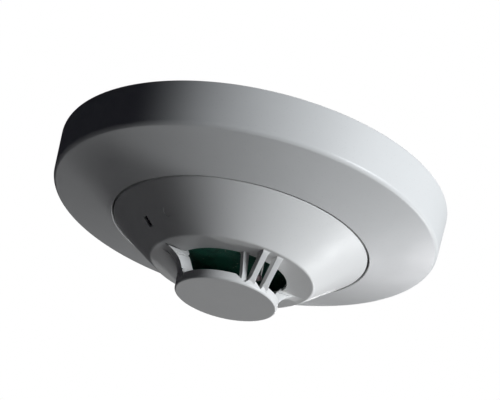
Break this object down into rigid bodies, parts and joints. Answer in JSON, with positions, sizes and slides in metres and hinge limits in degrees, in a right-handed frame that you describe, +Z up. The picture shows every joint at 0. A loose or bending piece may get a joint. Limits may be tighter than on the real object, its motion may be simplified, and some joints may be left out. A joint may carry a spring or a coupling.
{
  "type": "heat detector",
  "caption": "Low-profile ceiling heat detector: a conical head with a caged sensing bead, twist-locked into a wide flanged mounting base.",
  "frame": {"origin": "centre of the mounting base's face against the ceiling", "axes": "+Z up into the ceiling; the sensing cage's legs lie along X and its guard ribs along Y"},
  "size_m": [0.155, 0.155, 0.05],
  "materials": {
    "flange_plastic": "fine satin moulding",
    "base_plastic": "plain moulded",
    "contact_metal": "stamped spring strip",
    "screw_steel": "zinc plated",
    "cover_plastic": "fine satin moulding",
    "housing_plastic": "plain moulded",
    "board_green": "solder mask",
    "blade_metal": "nickel plated",
    "switch_black": "moulded",
    "rotor_plastic": "moulded",
    "chip_black": "moulded epoxy",
    "can_aluminium": "drawn can",
    "reed_glass": "clear tube",
    "led_lens": "diffusing lens",
    "light_pipe": "smoked clear plastic",
    "holder_plastic": "moulded",
    "lead_metal": "tinned wire",
    "bead_epoxy": "dipped epoxy",
    "label_paper": "blank printed film"
  },
  "bodies": {
    "base": {"trim_flange": "flange_plastic", "mounting_base": "base_plastic", "terminal_contact_1": "contact_metal", "terminal_contact_2": "contact_metal", "terminal_contact_3": "contact_metal", "terminal_contact_4": "contact_metal", "wire_clamps": "screw_steel", "terminal_screws": "screw_steel"},
    "head": {"board_screws": "screw_steel", "head_cover": "cover_plastic", "rear_housing": "housing_plastic", "circuit_board": "board_green", "sensor_board": "board_green", "board_connector": "switch_black", "board_spacers": "holder_plastic", "contact_blade_1": "blade_metal", "contact_blade_2": "blade_metal", "contact_blade_3": "blade_metal", "contact_blade_4": "blade_metal", "contact_rivets": "blade_metal", "address_switch_tens": "switch_black", "address_switch_ones": "switch_black", "control_chip": "chip_black", "surge_diode": "chip_black", "chip_resistors": "chip_black", "filter_capacitors": "can_aluminium", "reed_switch": "reed_glass", "status_led_1": "led_lens", "status_led_2": "led_lens", "light_pipe_1": "light_pipe", "light_pipe_2": "light_pipe", "thermistor_holder": "holder_plastic", "thermistor_leads": "lead_metal", "thermistor_bead": "bead_epoxy", "rating_label": "label_paper"},
    "tens_rotor": {"address_rotor_tens": "rotor_plastic"},
    "ones_rotor": {"address_rotor_ones": "rotor_plastic"}
  },
  "joints": [
    {"name": "head_twist", "type": "hinge", "parent": "base", "child": "head", "pos_m": [0, 0, -0.02], "axis": [0, 0, -1], "range_deg": [0, 17]},
    {"name": "tens_turn", "type": "hinge", "parent": "head", "child": "tens_rotor", "pos_m": [-0.0095, 0, -0.009], "axis": [0, 0, 1], "continuous": true},
    {"name": "ones_turn", "type": "hinge", "parent": "head", "child": "ones_rotor", "pos_m": [0.0095, 0, -0.009], "axis": [0, 0, 1], "continuous": true}
  ]
}
